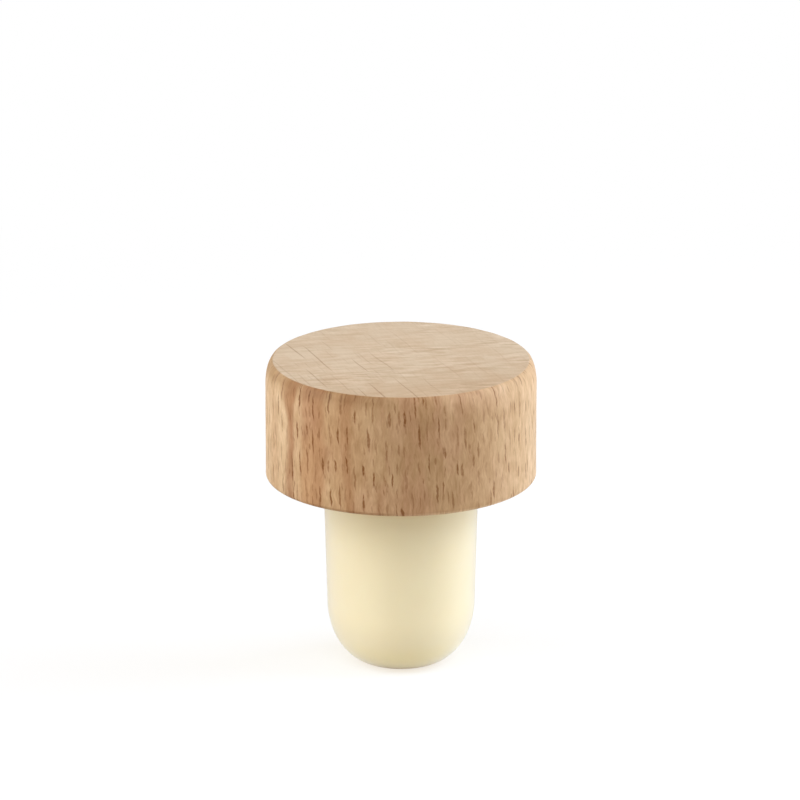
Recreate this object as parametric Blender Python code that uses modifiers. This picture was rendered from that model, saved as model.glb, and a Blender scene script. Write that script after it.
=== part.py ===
"""A bottle stopper: a turned beech cap glued onto a moulded polymer plug.

The stopper stands on its foot with the foot's centre at the origin and +Z up. Every size is in metres.
Both pieces are round about Z, so each one is a half section in the XZ plane, spun by a Screw modifier.
A section runs from the axis at the top, out, down its outer side, and back to the axis.
"""

from math import cos, pi, sin

import bpy

# Cap, turned from one block of beech with the grain along Z
CAP_DIAMETER = 0.0300
CAP_THICKNESS = 0.0135
SHOULDER_INSET = 0.00094  # how far the top face's rim lies inside the side wall
SHOULDER_DROP = 0.00265  # how far down the side the shoulder's curve starts
LOWER_EDGE_RADIUS = 0.0005
SOCKET_MOUTH_CHAMFER = 0.0006
SEAT_RECESS_DEPTH = 0.0008  # shallow recess in the underside that centres the plug and hides the glue

# Plug, moulded in one piece with the tenon that goes up into the cap
PLUG_LENGTH = 0.0215  # from the foot to the underside of the cap
PLUG_TOP_DIAMETER = 0.01725
PLUG_END_DIAMETER = 0.0164  # where the taper meets the rounded end
END_ROUND_HEIGHT = 0.0070
FOOT_DIAMETER = 0.0064  # the flat that the stopper stands on
PLUG_TOP_EDGE_RADIUS = 0.0004
TENON_DIAMETER = 0.0100
TENON_LENGTH = 0.0068  # from the plug's shoulder to the tenon's tip
TENON_CHAMFER = 0.0007
GLUE_GROOVE_PITCH = 0.0018
GLUE_GROOVE_WIDTH = 0.0009
GLUE_GROOVE_DEPTH = 0.0004

# Room for glue between the two pieces: over and round the plug's shoulder, and over and round the tenon
GLUE_GAP = 0.0003

# Facets
TURNS_FACETS = 96
SHOULDER_FACETS = 10
END_ROUND_FACETS = 12
SMALL_CURVE_FACETS = 4
MERGE_DISTANCE = 0.00001


def arc(centre, radii, start, end, facets):
    """Points on an elliptical arc in the XZ plane, from one angle to another, in half turns."""
    points = []
    for i in range(facets + 1):
        angle = pi * (start + (end - start) * i / facets)
        points.append((centre[0] + radii[0] * cos(angle), centre[1] + radii[1] * sin(angle)))
    return points


def cap_section():
    """Half section of the cap: flat top, elliptical shoulder, side, underside, recess and blind socket."""
    radius = CAP_DIAMETER / 2
    underside = PLUG_LENGTH
    top = underside + CAP_THICKNESS
    recess_radius = PLUG_TOP_DIAMETER / 2 + GLUE_GAP
    recess_floor = underside + SEAT_RECESS_DEPTH
    socket_radius = TENON_DIAMETER / 2 + GLUE_GAP
    socket_roof = recess_floor + TENON_LENGTH

    shoulder_centre = (radius - SHOULDER_INSET, top - SHOULDER_DROP)
    lower_centre = (radius - LOWER_EDGE_RADIUS, underside + LOWER_EDGE_RADIUS)
    section = [(0, top)]
    section += arc(shoulder_centre, (SHOULDER_INSET, SHOULDER_DROP), 0.5, 0, SHOULDER_FACETS)
    section += arc(lower_centre, (LOWER_EDGE_RADIUS, LOWER_EDGE_RADIUS), 0, -0.5, SMALL_CURVE_FACETS)
    section += [
        (recess_radius, underside),
        (recess_radius, recess_floor),
        (socket_radius + SOCKET_MOUTH_CHAMFER, recess_floor),
        (socket_radius, recess_floor + SOCKET_MOUTH_CHAMFER),
        (socket_radius, socket_roof),
        (0, socket_roof),
    ]
    return section


def tenon_section(base, tip):
    """The tenon's side from its chamfered tip down to its base, with ring grooves that key the glue."""
    radius = TENON_DIAMETER / 2
    section = [(0, tip), (radius - TENON_CHAMFER, tip), (radius, tip - TENON_CHAMFER)]
    groove_radii = (GLUE_GROOVE_DEPTH, GLUE_GROOVE_WIDTH / 2)
    length_for_grooves = tip - TENON_CHAMFER - GLUE_GROOVE_WIDTH / 2 - base
    grooves = int(length_for_grooves / GLUE_GROOVE_PITCH)
    for number in range(grooves, 0, -1):
        centre = (radius, base + number * GLUE_GROOVE_PITCH)
        section += arc(centre, groove_radii, 0.5, 1.5, SMALL_CURVE_FACETS)
    return section + [(radius, base)]


def plug_section():
    """Half section of the plug: tenon, shoulder, tapered side, rounded end and flat foot."""
    shoulder = PLUG_LENGTH + SEAT_RECESS_DEPTH - GLUE_GAP
    top_radius = PLUG_TOP_DIAMETER / 2
    foot_radius = FOOT_DIAMETER / 2
    end_inset = PLUG_END_DIAMETER / 2 - foot_radius

    edge_centre = (top_radius - PLUG_TOP_EDGE_RADIUS, shoulder - PLUG_TOP_EDGE_RADIUS)
    edge_radii = (PLUG_TOP_EDGE_RADIUS, PLUG_TOP_EDGE_RADIUS)
    end_centre = (foot_radius, END_ROUND_HEIGHT)
    section = tenon_section(shoulder, shoulder + TENON_LENGTH)
    section += arc(edge_centre, edge_radii, 0.5, 0, SMALL_CURVE_FACETS)
    section += arc(end_centre, (end_inset, END_ROUND_HEIGHT), 0, -0.5, END_ROUND_FACETS)
    return section + [(0, 0)]


def turned(name, section, material, collection):
    """An object made by spinning a half section once round Z."""
    mesh = bpy.data.meshes.new(name)
    corners = [(x, 0, z) for x, z in section]
    edges = [(i, i + 1) for i in range(len(corners) - 1)]
    mesh.from_pydata(corners, edges, [])
    mesh.materials.append(material)
    piece = bpy.data.objects.new(name, mesh)
    collection.objects.link(piece)

    spin = piece.modifiers.new("spin", "SCREW")
    spin.axis = "Z"
    spin.steps = TURNS_FACETS
    spin.render_steps = TURNS_FACETS
    spin.use_merge_vertices = True
    spin.merge_threshold = MERGE_DISTANCE
    spin.use_smooth_shade = True
    return piece


def principled(name, colour, roughness):
    """A plain non-metal material."""
    material = bpy.data.materials.new(name)
    material.use_nodes = True
    shader = material.node_tree.nodes["Principled BSDF"]
    shader.inputs["Base Color"].default_value = (*colour, 1)
    shader.inputs["Roughness"].default_value = roughness
    shader.inputs["Metallic"].default_value = 0
    material.diffuse_color = (*colour, 1)
    return material


def clear_scene():
    """Removes whatever the scene holds."""
    for old in list(bpy.data.objects):
        bpy.data.objects.remove(old, do_unlink=True)


def main():
    clear_scene()
    stopper = bpy.data.collections.new("bottle_stopper")
    bpy.context.scene.collection.children.link(stopper)
    beech = principled("beech", (0.60, 0.37, 0.21), 0.55)
    polymer = principled("cream_polymer", (0.93, 0.84, 0.61), 0.42)
    turned("wooden_cap", cap_section(), beech, stopper)
    turned("polymer_plug", plug_section(), polymer, stopper)


main()
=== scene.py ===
"""The looks of a bottle stopper: its turned beech cap, its moulded cream plug and the glue between them.

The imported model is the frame. Sizes are in metres unless a name or comment says otherwise, +Z is up, the
stopper stands on its foot at the origin, and the camera looks along +Y and a little down.
"""

from math import cos, pi, radians, sin

import bpy
import numpy as np
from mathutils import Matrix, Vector, noise


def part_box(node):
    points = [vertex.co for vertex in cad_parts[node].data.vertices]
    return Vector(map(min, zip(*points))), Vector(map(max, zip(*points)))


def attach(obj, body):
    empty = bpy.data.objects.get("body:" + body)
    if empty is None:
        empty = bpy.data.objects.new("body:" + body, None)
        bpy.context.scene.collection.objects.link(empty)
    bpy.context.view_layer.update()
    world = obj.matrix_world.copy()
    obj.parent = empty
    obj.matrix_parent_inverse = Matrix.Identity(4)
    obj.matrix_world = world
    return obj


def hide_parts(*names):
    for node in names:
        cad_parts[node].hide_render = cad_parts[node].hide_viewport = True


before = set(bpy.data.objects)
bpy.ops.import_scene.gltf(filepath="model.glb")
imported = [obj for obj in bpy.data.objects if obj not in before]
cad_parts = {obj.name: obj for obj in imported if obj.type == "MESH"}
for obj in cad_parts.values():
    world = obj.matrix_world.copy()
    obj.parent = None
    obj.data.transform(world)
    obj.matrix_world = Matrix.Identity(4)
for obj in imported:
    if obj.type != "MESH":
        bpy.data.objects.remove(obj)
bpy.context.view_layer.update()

# Places read from the model
CAP_LOW, CAP_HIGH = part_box("wooden_cap")
PLUG_LOW, PLUG_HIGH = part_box("polymer_plug")
CAP_RADIUS = CAP_HIGH.x
CAP_UNDERSIDE = CAP_LOW.z
CAP_TOP = CAP_HIGH.z
PLUG_RADIUS = PLUG_HIGH.x
TENON_TIP = PLUG_HIGH.z

# Sizes of the two pieces that their boxes don't give
SHOULDER_INSET = 0.00094
SHOULDER_DROP = 0.00265
LOWER_EDGE_RADIUS = 0.0005
SOCKET_MOUTH_CHAMFER = 0.0006
SEAT_RECESS_DEPTH = 0.0008
GLUE_GAP = 0.0003
PLUG_END_RADIUS = 0.0082
END_ROUND_HEIGHT = 0.0070
FOOT_RADIUS = 0.0032
PLUG_TOP_EDGE_RADIUS = 0.0004
TENON_RADIUS = 0.0050
TENON_CHAMFER = 0.0007

# The ring of dried glue
GLUE_CLEARANCE = 0.00001  # from the recess's wall, and from the plug
GLUE_FACE_HEIGHT = 0.00012  # how far its open face lies above the cap's underside

# What sanding took off the cap, at most, and how far apart its hollows are
SANDING_DEPTH = 0.00006
SANDING_SPACING = 0.0022

# How finely the meshes are cut
CAP_STEP = 0.00026
CAP_FACETS = 360
PLUG_STEP = 0.0004
PLUG_FACETS = 256
GLUE_FACETS = 128
SHOULDER_FACETS = 28
END_ROUND_FACETS = 40
SMALL_CURVE_FACETS = 8
SHARP_ANGLE = radians(35)

# Camera: the photograph's viewing angle through a long lens
PICTURE_WIDTH_PIXELS = 800
STOPPER_MIDDLE_PIXEL = (401, 509)
PIXELS_PER_METRE = 9000
CAMERA_ELEVATION = radians(17.5)
CAMERA_DISTANCE = 0.80
CAMERA_CLIP_START = 0.01
SENSOR_WIDTH_MM = 36

# Light: each level is the brightness that a white surface facing the lamp takes from it. Angles are in degrees
LAMP_DISTANCE = 0.50
LAMP_SIZE = 0.40
LAMPS = {
    "right_softbox": {"azimuth": 97, "elevation": 23, "level": 0.96, "tint": (0.94, 1.02, 1.15)},
    "left_softbox": {"azimuth": -79, "elevation": 25, "level": 0.68, "tint": (0.99, 1.00, 1.03)},
    "front_softbox": {"azimuth": 0, "elevation": 48, "level": 0.42, "tint": (1.00, 1.00, 1.00)},
}
ROOM_LIGHT = 0.29

# Floor
FLOOR_SIZE = 3.0
FLOOR_BOUNCE = (0.58, 0.54, 0.46)  # its colour in the light that it throws back at the stopper
FLOOR_SHADOW_SHARES = (0.21, 0.28, 0.38)  # the share of its red, green and blue that a full shadow takes away
FLOOR_WHITE_MARGIN = 0.02  # added near the stopper, so that only real shade looks darker than white
FLOOR_SHADE_REACH = (0.08, 0.18)  # over this distance from the stopper the floor's shade fades to white

MILLIMETRE = 0.001


def srgb(red, green, blue):
    """A colour given as 8-bit screen values, in the linear light that shaders take."""
    linear = []
    for level in (red, green, blue):
        share = level / 255
        linear.append(share / 12.92 if share <= 0.04045 else ((share + 0.055) / 1.055) ** 2.4)
    return (*linear, 1.0)


WHITE = srgb(255, 255, 255)


# Turned meshes

def arc(centre, radii, start, end, count):
    """Points on an elliptical arc in the XZ plane, from one angle to another, in half turns."""
    turns = np.linspace(start, end, count + 1)
    return [(centre[0] + radii[0] * cos(pi * t), centre[1] + radii[1] * sin(pi * t)) for t in turns]


def finely(section, step):
    """The section with points no further apart than step."""
    fine = [section[0]]
    for (r0, z0), (r1, z1) in zip(section, section[1:]):
        pieces = max(1, int(np.ceil(np.hypot(r1 - r0, z1 - z0) / step)))
        for i in range(1, pieces + 1):
            share = i / pieces
            fine.append((r0 + (r1 - r0) * share, z0 + (z1 - z0) * share))
    return fine


def turned(name, section, facets, closed_loop=False):
    """A mesh object made by turning a section round Z. It starts and ends on the axis, or is a closed loop."""
    if not closed_loop:
        section = section[1:-1]
    angles = np.arange(facets) * 2 * pi / facets
    points = [(r * cos(a), r * sin(a), z) for r, z in section for a in angles]
    rows = len(section)
    faces = []
    for row in range(rows if closed_loop else rows - 1):
        low = ((row + 1) % rows) * facets
        high = row * facets
        for i in range(facets):
            j = (i + 1) % facets
            faces.append((high + i, low + i, low + j, high + j))
    if not closed_loop:
        top, bottom = len(points), len(points) + 1
        points += [(0, 0, section[0][1]), (0, 0, section[-1][1])]
        last = (rows - 1) * facets
        for i in range(facets):
            j = (i + 1) % facets
            faces.append((top, i, j))
            faces.append((bottom, last + j, last + i))
    mesh = bpy.data.meshes.new(name)
    mesh.from_pydata(points, [], faces)
    mesh.shade_smooth()
    mesh.set_sharp_from_angle(angle=SHARP_ANGLE)
    piece = bpy.data.objects.new(name, mesh)
    bpy.context.scene.collection.objects.link(piece)
    return piece


def cap_section():
    """Half section of the cap, as the model has it: top, shoulder, side, underside, recess and blind socket."""
    recess_floor = CAP_UNDERSIDE + SEAT_RECESS_DEPTH
    recess_radius = PLUG_RADIUS + GLUE_GAP
    socket_radius = TENON_RADIUS + GLUE_GAP
    socket_roof = TENON_TIP + GLUE_GAP
    shoulder = (CAP_RADIUS - SHOULDER_INSET, CAP_TOP - SHOULDER_DROP)
    lower_edge = (CAP_RADIUS - LOWER_EDGE_RADIUS, CAP_UNDERSIDE + LOWER_EDGE_RADIUS)
    section = [(0, CAP_TOP)]
    section += arc(shoulder, (SHOULDER_INSET, SHOULDER_DROP), 0.5, 0, SHOULDER_FACETS)
    section += arc(lower_edge, (LOWER_EDGE_RADIUS, LOWER_EDGE_RADIUS), 0, -0.5, SMALL_CURVE_FACETS)
    section += [
        (recess_radius, CAP_UNDERSIDE),
        (recess_radius, recess_floor),
        (socket_radius + SOCKET_MOUTH_CHAMFER, recess_floor),
        (socket_radius, recess_floor + SOCKET_MOUTH_CHAMFER),
        (socket_radius, socket_roof),
        (0, socket_roof),
    ]
    return section


def plug_section():
    """Half section of the plug: tenon, shoulder, taper, rounded end and foot.

    The tenon is out of sight in its socket, so it has none of the ring grooves that the model's has.
    """
    shoulder = CAP_UNDERSIDE + SEAT_RECESS_DEPTH - GLUE_GAP
    edge = (PLUG_RADIUS - PLUG_TOP_EDGE_RADIUS, shoulder - PLUG_TOP_EDGE_RADIUS)
    edge_radii = (PLUG_TOP_EDGE_RADIUS, PLUG_TOP_EDGE_RADIUS)
    end_radii = (PLUG_END_RADIUS - FOOT_RADIUS, END_ROUND_HEIGHT)
    section = [
        (0, TENON_TIP),
        (TENON_RADIUS - TENON_CHAMFER, TENON_TIP),
        (TENON_RADIUS, TENON_TIP - TENON_CHAMFER),
        (TENON_RADIUS, shoulder),
    ]
    section += arc(edge, edge_radii, 0.5, 0, SMALL_CURVE_FACETS)
    section += arc((FOOT_RADIUS, END_ROUND_HEIGHT), end_radii, 0, -0.5, END_ROUND_FACETS)
    return section + [(0, PLUG_LOW.z)]


def glue_section():
    """Section of the ring of glue, as a closed loop."""
    inner = PLUG_RADIUS + GLUE_CLEARANCE
    outer = PLUG_RADIUS + GLUE_GAP - GLUE_CLEARANCE
    top = CAP_UNDERSIDE + PLUG_TOP_EDGE_RADIUS
    bottom = CAP_UNDERSIDE + GLUE_FACE_HEIGHT
    return [(inner, top), (outer, top), (outer, bottom), (inner, bottom)]


# Material nodes

class Nodes:
    """Builds a material's or a world's node tree. An input may be a number, a colour or a node's output."""

    def __init__(self, owner):
        owner.use_nodes = True
        self.owner = owner
        self.tree = owner.node_tree
        self.tree.nodes.clear()

    def feed(self, socket, value):
        """Links a node's output to an input, or sets the input to a plain value."""
        if isinstance(value, bpy.types.NodeSocket):
            self.tree.links.new(value, socket)
        else:
            socket.default_value = value

    def add(self, kind, inputs, **settings):
        """A new node. Its settings come first, since they can change which inputs it has."""
        node = self.tree.nodes.new(kind)
        for setting, value in settings.items():
            setattr(node, setting, value)
        for key, value in inputs.items():
            self.feed(node.inputs[key], value)
        return node

    def maths(self, operation, first, second=0.0):
        """One step of arithmetic on numbers."""
        return self.add("ShaderNodeMath", {0: first, 1: second}, operation=operation).outputs[0]

    def plus(self, first, second):
        """The sum of two numbers."""
        return self.maths("ADD", first, second)

    def times(self, first, second):
        """The product of two numbers."""
        return self.maths("MULTIPLY", first, second)

    def over(self, first, second):
        """The first number divided by the second."""
        return self.maths("DIVIDE", first, second)

    def larger(self, first, second):
        """The larger of two numbers."""
        return self.maths("MAXIMUM", first, second)

    def remap(self, value, low, high, to_low=0.0, to_high=1.0):
        """Value carried from low..high to to_low..to_high along a smooth step."""
        inputs = {"Value": value, "From Min": low, "From Max": high, "To Min": to_low, "To Max": to_high}
        return self.add("ShaderNodeMapRange", inputs, interpolation_type="SMOOTHSTEP").outputs[0]

    def blend(self, factor, first, second, mode="MIX"):
        """Two colours blended. Factor 0 gives the first colour."""
        node = self.add("ShaderNodeMix", {0: factor, 6: first, 7: second}, data_type="RGBA", blend_type=mode)
        return node.outputs[2]

    def combine(self, x, y, z):
        """Three numbers as one vector."""
        return self.add("ShaderNodeCombineXYZ", {0: x, 1: y, 2: z}).outputs[0]

    def separate(self, vector):
        """A vector's x, y and z."""
        return self.add("ShaderNodeSeparateXYZ", {0: vector}).outputs

    def vector(self, operation, first, second):
        """One step of arithmetic on vectors."""
        return self.add("ShaderNodeVectorMath", {0: first, 1: second}, operation=operation).outputs[0]

    def rotate(self, vector, axis, angle):
        """A vector turned round one axis."""
        inputs = {"Vector": vector, "Angle": angle}
        return self.add("ShaderNodeVectorRotate", inputs, rotation_type=axis + "_AXIS").outputs[0]

    def coordinates(self, kind):
        """Kind Object gives the place on the object, in metres, and kind Normal its surface's direction."""
        return self.add("ShaderNodeTexCoord", {}).outputs[kind]

    def millimetre_place(self):
        """A place on the object in millimetres."""
        return self.vector("DIVIDE", self.coordinates("Object"), (MILLIMETRE,) * 3)

    def noise(self, place, size, seed, detail=2.0, roughness=0.5):
        """Noise whose features are about size = (x, y, z) across, from 0 to 1."""
        cells = self.vector("ADD", self.vector("DIVIDE", place, size), seed)
        inputs = {"Vector": cells, "Scale": 1.0, "Detail": detail, "Roughness": roughness}
        return self.add("ShaderNodeTexNoise", inputs).outputs[0]

    def draws(self, x, y, z):
        """Three random numbers from 0 to 1, which stay the same for the same x, y and z."""
        colour = self.add("ShaderNodeTexWhiteNoise", {"Vector": self.combine(x, y, z)}).outputs["Color"]
        return self.add("ShaderNodeSeparateColor", {0: colour}).outputs

    def finish(self, shader, output="ShaderNodeOutputMaterial"):
        """Makes the shader the surface, and gives back the material or the world."""
        self.add(output, {"Surface": shader.outputs[0]})
        return self.owner


def new_material(name):
    """The node builder of a new material."""
    return Nodes(bpy.data.materials.new(name))


# Beech

# The medullary rays lie across the grain, at this angle round Z, and the growth rings lie square to them
RAY_DIRECTION = radians(-70)
GRAIN_LEAN = radians(-2.5)
STREAK_DIRECTION = radians(9)  # of the weave that the saw left on the end grain
FLECK_LEAN = 0.06  # how far a fleck moves round the cap for each millimetre that it rises
FLECK_STRENGTH = 0.85  # of the dark flecks round the side
END_LINE_STRENGTH = 0.36  # of the rays on the end grain
RING_SPACING = 6.4  # millimetres
RING_PHASE = 0.72  # as a share of the spacing
GRAIN_RELIEF = 0.00005  # depth of the bump map

# Paler streaks up the cap's side: where each starts and ends round the side, in millimetres, and its strength
PALE_STREAKS = (
    (-13.2, -12.7, 0.50),
    (-7.7, -6.7, 0.12),
    (-5.4, -2.8, 0.20),
    (-1.5, -0.4, 0.18),
    (4.8, 5.6, 0.15),
)
# Painted shade and light on the shoulder: its brightness beside the side's, darker on the left of the cap's
# front and lighter on the right
SHOULDER_PAINTED_LIGHT_AND_SHADE = (0.715, 1.08)
# How that painted shade and light changes further round: where the change starts and ends, in millimetres, and
# how large it is
SHOULDER_PAINTED_LIGHT_CHANGES = (
    (10.0, 18.0, -0.19),
    (-8.0, -15.0, 0.095),
    (-16.0, -19.0, -0.13),
)

PALE_BEECH = srgb(199, 162, 121)
WARM_BEECH = srgb(189, 146, 105)
RING_BROWN = srgb(160, 112, 74)
HEART_BROWN = srgb(168, 132, 94)
ROSY_BEECH = srgb(179, 134, 103)
FLECK_BROWN = srgb(116, 66, 16)
PALEST_SIDE_BEECH = srgb(219, 186, 146)
END_GRAIN_PALE = srgb(209, 186, 158)
END_GRAIN_HEART = srgb(200, 174, 144)


def wood_place(nodes):
    """Place in the wood in millimetres: x along the rays, y across them, z along the grain."""
    along = nodes.rotate(nodes.millimetre_place(), "Z", -RAY_DIRECTION)
    along = nodes.rotate(along, "X", GRAIN_LEAN)
    inputs = {"Vector": nodes.vector("DIVIDE", along, (9, 6, 14)), "Scale": 1.0, "Detail": 1.0}
    sway = nodes.add("ShaderNodeTexNoise", inputs).outputs["Color"]
    sway = nodes.vector("SUBTRACT", sway, (0.5, 0.5, 0.5))
    sway = nodes.vector("MULTIPLY", sway, (1.5, 0.9, 0.0))
    return nodes.vector("ADD", along, sway)


def unrolled(nodes):
    """Place on the cap's unrolled side in millimetres: how far round from the front, and how high."""
    x, y, z = nodes.separate(nodes.coordinates("Object"))
    from_front = nodes.maths("ARCTAN2", x, nodes.times(y, -1.0))
    around_cap = nodes.times(from_front, CAP_RADIUS / MILLIMETRE)
    return around_cap, nodes.over(z, MILLIMETRE)


def stripe(nodes, place, start, end, fade):
    """1 from start to end, falling to 0 over the fade on both sides."""
    return nodes.times(nodes.remap(place, start - fade, start), nodes.remap(place, end + fade, end))


def scaled(nodes, colour, light):
    """A colour made lighter or darker by a number. Darker wood is browner and lighter wood is paler."""
    green = nodes.maths("POWER", light, 1.25)
    blue = nodes.maths("POWER", light, 1.65)
    return nodes.blend(1.0, colour, nodes.combine(light, green, blue), "MULTIPLY")


def dashes(nodes, sideways, lengthwise, cell, half_size, held_share, lean, seed):
    """Spindle-shaped dashes, 1 inside them and 0 between.

    Each one lies at random in its own cell of a loosely stacked grid. Sizes are in millimetres, as
    (width, length), and lean is how far a dash moves sideways along its length.
    """
    column_place = nodes.over(sideways, cell[0])
    column = nodes.maths("FLOOR", column_place)
    stagger = nodes.draws(column, seed, 0.5)[0]
    row_place = nodes.plus(nodes.over(lengthwise, cell[1]), nodes.times(stagger, 9.0))
    row = nodes.maths("FLOOR", row_place)
    drawn_side, drawn_height, drawn_length = nodes.draws(column, row, seed)
    drawn_holding, drawn_width, drawn_strength = nodes.draws(row, column, seed + 50)

    def from_centre(cell_place, index, drawn, length, room):
        """Distance from the dash's centre, which lies anywhere in the middle share of the cell that is room."""
        centre = nodes.remap(drawn, 0, 1, 0.5 - 0.5 * room, 0.5 + 0.5 * room)
        part = nodes.maths("SUBTRACT", nodes.maths("SUBTRACT", cell_place, index), centre)
        return nodes.times(part, length)

    room_beside = max(0.05, 1 - 2.3 * half_size[0] / cell[0])
    room_along = max(0.05, 1 - 2.1 * half_size[1] / cell[1])
    along = from_centre(row_place, row, drawn_height, cell[1], room_along)
    beside = from_centre(column_place, column, drawn_side, cell[0], room_beside)
    beside = nodes.plus(beside, nodes.times(along, lean))
    half_length = nodes.remap(drawn_length, 0, 1, 0.45 * half_size[1], half_size[1])
    half_width = nodes.remap(drawn_width, 0, 1, 0.7 * half_size[0], half_size[0])
    near_end = nodes.maths("POWER", nodes.maths("ABSOLUTE", nodes.over(along, half_length)), 2.4)
    off_line = nodes.maths("POWER", nodes.maths("ABSOLUTE", nodes.over(beside, half_width)), 2.0)
    inside = nodes.remap(nodes.plus(near_end, off_line), 1.30, 0.25)
    held = nodes.maths("LESS_THAN", drawn_holding, held_share)
    strength = nodes.remap(drawn_strength, 0, 1, 0.40, 1.0)
    return nodes.times(nodes.times(inside, strength), held)


def side_flecks(nodes, place):
    """Medullary rays seen end on round the side: short dark dashes with slightly ragged outlines."""
    around_cap, height = unrolled(nodes)
    ragged = nodes.noise(place, (0.8, 0.7, 1.0), (2, 8, 6))
    around_cap = nodes.plus(around_cap, nodes.remap(ragged, 0.2, 0.8, -0.10, 0.10))
    large = dashes(nodes, around_cap, height, (1.10, 3.6), (0.15, 1.55), 0.92, FLECK_LEAN, 7)
    small = dashes(nodes, around_cap, height, (0.85, 2.3), (0.12, 0.75), 0.75, FLECK_LEAN, 11)
    beads = nodes.remap(nodes.noise(place, (0.6, 0.6, 0.50), (5, 5, 1), detail=1), 0.30, 0.55, 0.60, 1.0)
    flecks = nodes.times(nodes.larger(large, nodes.times(small, 0.55)), beads)
    fainter = nodes.larger(nodes.remap(around_cap, 5.0, 9.0), nodes.remap(around_cap, -13.6, -14.8))
    return nodes.times(flecks, nodes.remap(fainter, 0, 1, 1.0, 0.75))


def side_threads(nodes, place):
    """Fine wavy fibres that run up the side, from 0 to 1."""
    around_cap, height = unrolled(nodes)
    sway = nodes.remap(nodes.noise(place, (1.4, 1.4, 1.8), (3, 9, 4), detail=1), 0.2, 0.8, -0.25, 0.25)
    threads = nodes.combine(nodes.plus(around_cap, sway), 0.0, height)
    return nodes.noise(threads, (0.26, 1.0, 1.9), (7, 3, 1), roughness=0.6)


def end_lines(nodes, along_rays, across_rays):
    """Medullary rays seen from the side on the end grain: long thin faint lines, most of them on the left."""
    lines = dashes(nodes, across_rays, along_rays, (1.25, 15.0), (0.10, 6.2), 0.75, 0.0, 5)
    short = dashes(nodes, across_rays, along_rays, (0.8, 6.0), (0.07, 2.2), 0.5, 0.0, 17)
    lines = nodes.larger(lines, nodes.times(short, 0.5))
    return nodes.times(lines, nodes.remap(across_rays, 4.0, -4.0, 0.35, 1.0))


def growth_rings(nodes, place, along_rays):
    """Darker late wood at the end of each year's growth, 1 on its line, broken up by noise."""
    sway = nodes.times(nodes.noise(place, (9, 7, 30), (3, 1, 7)), 0.15)
    ring = nodes.plus(nodes.over(along_rays, RING_SPACING), sway)
    ring = nodes.maths("FRACT", nodes.plus(ring, RING_PHASE))
    line = nodes.times(nodes.remap(ring, 0.38, 0.46), nodes.remap(ring, 0.58, 0.51))
    patch = nodes.remap(nodes.noise(place, (3, 5, 14), (8, 2, 5)), 0.30, 0.60, 0.45, 1.0)
    return nodes.times(line, patch)


def pale_streaks(nodes, around_cap):
    """The paler streaks up the side, each as strong as its entry says."""
    pale = 0.0
    for start, end, strength in PALE_STREAKS:
        pale = nodes.larger(pale, nodes.times(stripe(nodes, around_cap, start, end, 0.8), strength))
    return pale


def paler_far_sides(nodes, around_cap, height):
    """Paler towards the far left and right of the side, from 0 to 1. The left one is narrower near the top."""
    cap_top = CAP_TOP / MILLIMETRE
    right = nodes.remap(around_cap, 3.0, 18.0, 0.0, 0.80)
    bend = nodes.remap(height, cap_top - 4.5, cap_top - 0.5, 0.0, 1.2)
    left = nodes.remap(nodes.plus(around_cap, bend), -13.8, -15.4)
    dip = nodes.remap(stripe(nodes, around_cap, -18.2, -17.4, 1.2), 0, 1, 1.0, 0.72)
    return nodes.larger(right, nodes.times(left, dip))


def side_grain(nodes, place, along_rays, ring_line, band, threads):
    """Long grain: bands, blotches, streaks and rings up the side, paler colour at its far left and right, and
    painted light at the far right.
    """
    around_cap, height = unrolled(nodes)
    wander = nodes.remap(nodes.noise(place, (3, 3, 5), (6, 6, 2)), 0, 1, -1, 1)
    around_cap = nodes.plus(around_cap, wander)
    heart = nodes.times(nodes.remap(along_rays, 7.0, 14.5), 0.7)
    blotch = nodes.remap(nodes.noise(place, (4, 2.4, 7), (9, 5, 3)), 0.42, 0.62, 0.0, 0.40)
    warm = stripe(nodes, around_cap, -11.4, -9.4, 1.4)
    streak = nodes.times(stripe(nodes, around_cap, -10.0, -9.2, 0.8), 0.35)
    patch = nodes.remap(nodes.noise(place, (2.0, 2.5, 6), (4, 6, 2)), 0.35, 0.60, 0.20, 0.45)
    edge_ring = nodes.times(stripe(nodes, around_cap, -14.6, -13.9, 0.7), patch)

    side = nodes.blend(nodes.larger(band, warm), PALE_BEECH, WARM_BEECH)
    side = nodes.blend(heart, side, HEART_BROWN)
    side = nodes.blend(blotch, side, ROSY_BEECH)
    side = nodes.blend(pale_streaks(nodes, around_cap), side, PALEST_SIDE_BEECH)
    side = nodes.blend(nodes.larger(nodes.times(ring_line, 0.45), streak), side, RING_BROWN)
    side = nodes.blend(nodes.times(paler_far_sides(nodes, around_cap, height), 0.92), side, PALEST_SIDE_BEECH)
    side = nodes.blend(edge_ring, side, RING_BROWN)
    # Painted light: lighter towards the far right, where the right lamp falls
    side = scaled(nodes, side, nodes.remap(around_cap, 15.5, 19.0, 1.0, 1.08))

    mottle = nodes.noise(place, (2.6, 1.1, 3.4), (6, 2, 8), detail=3, roughness=0.6)
    curl = nodes.noise(place, (0.9, 0.55, 1.0), (4, 9, 3), roughness=0.6)
    light = nodes.remap(mottle, 0.25, 0.75, 0.915, 1.075)
    light = nodes.plus(light, nodes.remap(curl, 0.25, 0.75, -0.045, 0.045))
    light = nodes.plus(light, nodes.remap(threads, 0.25, 0.75, -0.105, 0.105))
    return scaled(nodes, side, light)


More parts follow.
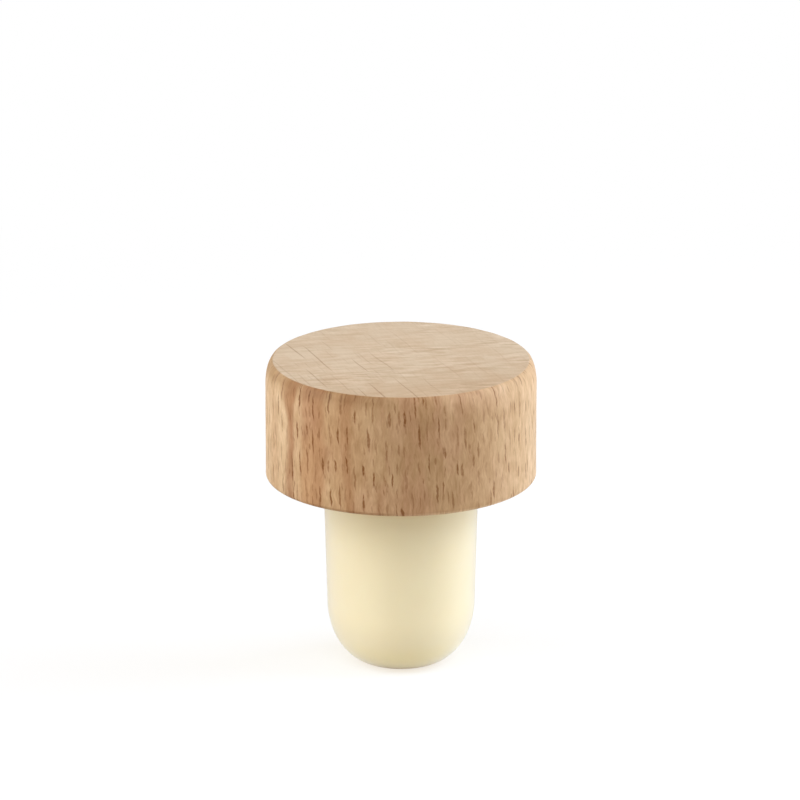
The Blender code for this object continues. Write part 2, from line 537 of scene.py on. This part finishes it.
def edges_with_painted_light(nodes, side, facing_up):
    """The side's colour with painted shade and light on the shoulder, and painted light on the lower edge."""
    around_cap = unrolled(nodes)[0]
    # Painted shade on the shoulder's left and painted light on its right
    light = nodes.remap(around_cap, -4.5, 4.0, *SHOULDER_PAINTED_LIGHT_AND_SHADE)
    for start, end, change in SHOULDER_PAINTED_LIGHT_CHANGES:
        light = nodes.plus(light, nodes.remap(around_cap, start, end, 0.0, change))
    shoulder = nodes.remap(nodes.maths("ABSOLUTE", facing_up), 0.05, 0.40)
    side = nodes.blend(shoulder, side, scaled(nodes, side, light))
    # Painted light: the lower edge, which faces down into shade, is made lighter
    return scaled(nodes, side, nodes.remap(facing_up, -0.1, -0.6, 1.0, 1.3))


def end_grain(nodes, along_rays, ring_line, band, fibre):
    """End grain: paler, with faint rings and a fine weave left by the saw."""
    flat = nodes.rotate(nodes.millimetre_place(), "Z", -STREAK_DIRECTION)
    weave = nodes.noise(flat, (2.6, 0.40, 2.0), (5, 1, 9), detail=3, roughness=0.6)
    patch = nodes.remap(nodes.noise(flat, (7, 6, 8), (1, 7, 4)), 0.35, 0.65, 0.35, 1.0)
    weave = nodes.times(nodes.remap(weave, 0.25, 0.75, -0.16, 0.16), patch)
    end = nodes.blend(nodes.remap(along_rays, 2.0, 12.0), END_GRAIN_PALE, END_GRAIN_HEART)
    end = nodes.blend(nodes.times(band, 0.14), end, WARM_BEECH)
    end = nodes.blend(nodes.times(ring_line, 0.10), end, RING_BROWN)
    light = nodes.plus(nodes.remap(fibre, 0.2, 0.8, -0.03, 0.03), nodes.plus(weave, 1.0))
    return scaled(nodes, end, light)


def beech():
    """Sanded, unvarnished beech with upright grain: long grain round the side, end grain above and below."""
    nodes = new_material("beech")
    place = wood_place(nodes)
    along_rays, across_rays, _ = nodes.separate(place)
    ring_line = growth_rings(nodes, place, along_rays)
    band = nodes.remap(nodes.noise(place, (5.0, 3.2, 22), (1, 5, 2), detail=3), 0.36, 0.64)
    fibre = nodes.noise(place, (0.9, 0.14, 2.0), (7, 3, 1), roughness=0.6)
    threads = side_threads(nodes, place)
    flecks = side_flecks(nodes, place)
    lines = end_lines(nodes, along_rays, across_rays)

    facing_up = nodes.separate(nodes.coordinates("Normal"))[2]
    side = side_grain(nodes, place, along_rays, ring_line, band, threads)
    side = nodes.blend(nodes.times(flecks, FLECK_STRENGTH), side, FLECK_BROWN)
    side = edges_with_painted_light(nodes, side, facing_up)
    end = end_grain(nodes, along_rays, ring_line, band, fibre)
    end = nodes.blend(nodes.times(lines, END_LINE_STRENGTH), end, FLECK_BROWN)
    end_share = nodes.remap(nodes.maths("ABSOLUTE", facing_up), 0.86, 0.965)
    colour = nodes.blend(end_share, side, end)

    # Flecks and open fibres lie a little below the sanded surface
    marks = nodes.blend(end_share, flecks, lines)
    fibres = nodes.blend(end_share, threads, fibre)
    height = nodes.plus(nodes.times(fibres, 0.6), nodes.times(marks, -0.6))
    bump = nodes.add("ShaderNodeBump", {"Strength": 0.30, "Distance": GRAIN_RELIEF, "Height": height})

    # End grain is cut across its fibres, so it is rougher than the side
    rough = nodes.plus(nodes.remap(band, 0, 1, 0.50, 0.62), nodes.times(end_share, 0.25))
    shader = nodes.add("ShaderNodeBsdfPrincipled", {
        "Base Color": colour,
        "Roughness": rough,
        "IOR": 1.45,
        "Specular IOR Level": 0.25,
        "Normal": bump.outputs[0],
    })
    return nodes.finish(shader)


# Cream polymer and glue

CREAM = srgb(251, 237, 199)
CREAM_DEEP = srgb(249, 234, 195)
# Painted shade: a darker, warmer band on the plug just below the cap, where the cap's overhang shades it
CREAM_PAINTED_SEAT_SHADE = srgb(210, 164, 88)
# Painted warm light: a warmer cream near the foot, for the warm light that the floor throws up there
CREAM_PAINTED_FLOOR_WARMTH = srgb(252, 237, 190)
# Painted shade: a darker brown on the plug within a millimetre of the floor, for the shade where it stands
CREAM_PAINTED_FOOT_SHADE = srgb(222, 190, 130)
GLUE = srgb(232, 220, 186)
MOULD_RELIEF = 0.00001  # depth of the bump map
LIGHT_DEPTH = 0.0012  # how far light gets into the polymer


def cream_polymer():
    """Satin moulded polymer, faintly mottled, that lets a little light in. Its seat and foot have painted
    shade, and warm floor light is painted near the foot.
    """
    nodes = new_material("cream_polymer")
    place = nodes.millimetre_place()
    height = nodes.separate(place)[2]
    seat = CAP_UNDERSIDE / MILLIMETRE
    cloud = nodes.noise(place, (6, 6, 9), (2, 6, 4), detail=3)
    colour = nodes.blend(nodes.remap(cloud, 0.3, 0.7), CREAM, CREAM_DEEP)
    # Painted shade under the cap's overhang
    colour = nodes.blend(nodes.remap(height, seat - 2.6, seat - 0.3), colour, CREAM_PAINTED_SEAT_SHADE)
    # Painted warm floor light near the foot
    colour = nodes.blend(nodes.remap(height, 4.5, 2.0), colour, CREAM_PAINTED_FLOOR_WARMTH)
    # Painted shade where the foot meets the floor
    colour = nodes.blend(nodes.remap(height, 1.0, 0.1), colour, CREAM_PAINTED_FOOT_SHADE)
    grain = nodes.noise(place, (0.10, 0.10, 0.10), (9, 1, 3), detail=1)
    bump = nodes.add("ShaderNodeBump", {"Strength": 0.18, "Distance": MOULD_RELIEF, "Height": grain})
    shader = nodes.add("ShaderNodeBsdfPrincipled", {
        "Base Color": colour,
        "Roughness": nodes.remap(cloud, 0.2, 0.8, 0.30, 0.36),
        "IOR": 1.48,
        "Specular IOR Level": 0.4,
        "Normal": bump.outputs[0],
        "Sheen Weight": 0.75,
        "Sheen Roughness": 0.5,
        "Subsurface Weight": 0.15,
        "Subsurface Radius": (1.0, 0.8, 0.5),
        "Subsurface Scale": LIGHT_DEPTH,
    })
    return nodes.finish(shader)


def dried_glue():
    """Plain, slightly glossy glue, a little darker than the polymer."""
    nodes = new_material("dried_glue")
    shader = nodes.add("ShaderNodeBsdfPrincipled", {"Base Color": GLUE, "Roughness": 0.35, "IOR": 1.47})
    return nodes.finish(shader)


# Pieces

def softened(piece, depth, spacing):
    """Takes a little off the outer surface, unevenly, the way sanding leaves turned wood.

    The noise has no random draw, so it is the same in each run.
    """
    for vertex in piece.data.vertices:
        x, y, z = vertex.co
        radius = np.hypot(x, y)
        if radius < CAP_RADIUS - 2 * SHOULDER_INSET or z < CAP_UNDERSIDE + LOWER_EDGE_RADIUS:
            continue
        edge = max(0.0, min(1.0, (z - (CAP_TOP - SHOULDER_DROP)) / SHOULDER_DROP))
        cut = depth * (0.35 + 0.65 * edge) * (0.5 + 0.5 * noise.noise(vertex.co / spacing))
        outward = Vector((x, y, edge * radius)).normalized()
        vertex.co = vertex.co - outward * cut


def make_cap():
    """The turned cap, in place of the model's."""
    cap = turned("beech_cap", finely(cap_section(), CAP_STEP), CAP_FACETS)
    softened(cap, SANDING_DEPTH, SANDING_SPACING)
    cap.data.materials.append(beech())
    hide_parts("wooden_cap")
    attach(cap, "root")


def make_plug():
    """The moulded plug, in place of the model's."""
    plug = turned("moulded_plug", finely(plug_section(), PLUG_STEP), PLUG_FACETS)
    plug.data.materials.append(cream_polymer())
    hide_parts("polymer_plug")
    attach(plug, "root")


def make_glue():
    """The ring of glue that shows in the recess, between its wall and the plug."""
    glue = turned("glue_line", glue_section(), GLUE_FACETS, closed_loop=True)
    glue.data.materials.append(dried_glue())
    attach(glue, "root")


# Room

def looked_at(nodes):
    """1 for rays that look at a surface, straight, in a gloss or through something, and 0 for plain light."""
    path = nodes.add("ShaderNodeLightPath", {}).outputs
    return nodes.larger(nodes.larger(path["Is Camera Ray"], path["Is Glossy Ray"]), path["Is Transmission Ray"])


def mixed(nodes, factor, first, second):
    """Two shaders mixed. Factor 0 gives the first shader."""
    return nodes.add("ShaderNodeMixShader", {0: factor, 1: first.outputs[0], 2: second.outputs[0]})


def white_floor():
    """White that keeps the stopper's shadow, slightly warm, near the stopper, and is pure white further off."""
    nodes = new_material("white_floor")
    plain = nodes.add("ShaderNodeBsdfDiffuse", {"Color": (*FLOOR_BOUNCE, 1)})
    shaded = nodes.add("ShaderNodeBsdfDiffuse", {"Color": (*FLOOR_SHADOW_SHARES, 1)})
    rest = [1 - share + FLOOR_WHITE_MARGIN for share in FLOOR_SHADOW_SHARES]
    white = nodes.add("ShaderNodeEmission", {"Color": (*rest, 1)})
    near_look = nodes.add("ShaderNodeAddShader", {0: shaded.outputs[0], 1: white.outputs[0]})
    far_look = nodes.add("ShaderNodeEmission", {"Color": WHITE})
    place = nodes.coordinates("Object")
    distance = nodes.add("ShaderNodeVectorMath", {0: place}, operation="LENGTH").outputs["Value"]
    near = nodes.remap(distance, *FLOOR_SHADE_REACH, 1.0, 0.0)
    shown = mixed(nodes, near, far_look, near_look)
    return nodes.finish(mixed(nodes, looked_at(nodes), plain, shown))


def make_floor():
    """The floor that the stopper stands on."""
    half = FLOOR_SIZE / 2
    corners = [(-half, -half, 0), (half, -half, 0), (half, half, 0), (-half, half, 0)]
    mesh = bpy.data.meshes.new("floor")
    mesh.from_pydata(corners, [], [(0, 1, 2, 3)])
    mesh.materials.append(white_floor())
    floor = bpy.data.objects.new("floor", mesh)
    bpy.context.scene.collection.objects.link(floor)


def make_room():
    """A white room: plain soft light on the object, and pure white where the camera sees it."""
    nodes = Nodes(bpy.data.worlds.new("white_room"))
    strength = nodes.add("ShaderNodeMapRange", {"Value": looked_at(nodes), "To Min": ROOM_LIGHT}).outputs[0]
    background = nodes.add("ShaderNodeBackground", {"Color": WHITE, "Strength": strength})
    bpy.context.scene.world = nodes.finish(background, "ShaderNodeOutputWorld")


def around(azimuth, elevation, distance, target):
    """A place round the target: azimuth 0 is the camera's side, and 90 degrees is to its right."""
    flat = cos(elevation)
    return target + distance * Vector((sin(azimuth) * flat, -cos(azimuth) * flat, sin(elevation)))


def aim(thing, target):
    """Turns a lamp or camera so that it looks at the target."""
    thing.rotation_euler = (target - thing.location).to_track_quat("-Z", "Y").to_euler()


def make_lamps(target):
    """Square softboxes round the target, all at the same distance."""
    for name, lamp in LAMPS.items():
        light = bpy.data.lights.new(name, "AREA")
        light.shape = "SQUARE"
        light.size = LAMP_SIZE
        light.color = lamp["tint"]
        light.energy = lamp["level"] * pi ** 2 * LAMP_DISTANCE ** 2
        softbox = bpy.data.objects.new(name, light)
        bpy.context.scene.collection.objects.link(softbox)
        softbox.location = around(radians(lamp["azimuth"]), radians(lamp["elevation"]), LAMP_DISTANCE, target)
        aim(softbox, target)


def make_camera(middle):
    """Looks at the point that puts the middle of the stopper on its pixel."""
    right = (PICTURE_WIDTH_PIXELS / 2 - STOPPER_MIDDLE_PIXEL[0]) / PIXELS_PER_METRE
    up = (STOPPER_MIDDLE_PIXEL[1] - PICTURE_WIDTH_PIXELS / 2) / PIXELS_PER_METRE
    up_axis = Vector((0, sin(CAMERA_ELEVATION), cos(CAMERA_ELEVATION)))
    target = middle + Vector((right, 0, 0)) + up * up_axis
    camera = bpy.data.objects.new("camera", bpy.data.cameras.new("camera"))
    bpy.context.scene.collection.objects.link(camera)
    camera.data.sensor_width = SENSOR_WIDTH_MM
    camera.data.lens = PIXELS_PER_METRE * CAMERA_DISTANCE / PICTURE_WIDTH_PIXELS * SENSOR_WIDTH_MM
    camera.data.clip_start = CAMERA_CLIP_START
    camera.location = around(0, CAMERA_ELEVATION, CAMERA_DISTANCE, target)
    aim(camera, target)
    bpy.context.scene.camera = camera


stopper_middle = Vector((0, 0, CAP_TOP / 2))
make_camera(stopper_middle)
make_floor()
make_room()
make_lamps(stopper_middle)
make_cap()
make_plug()
make_glue()
bpy.context.scene.view_settings.view_transform = "Standard"
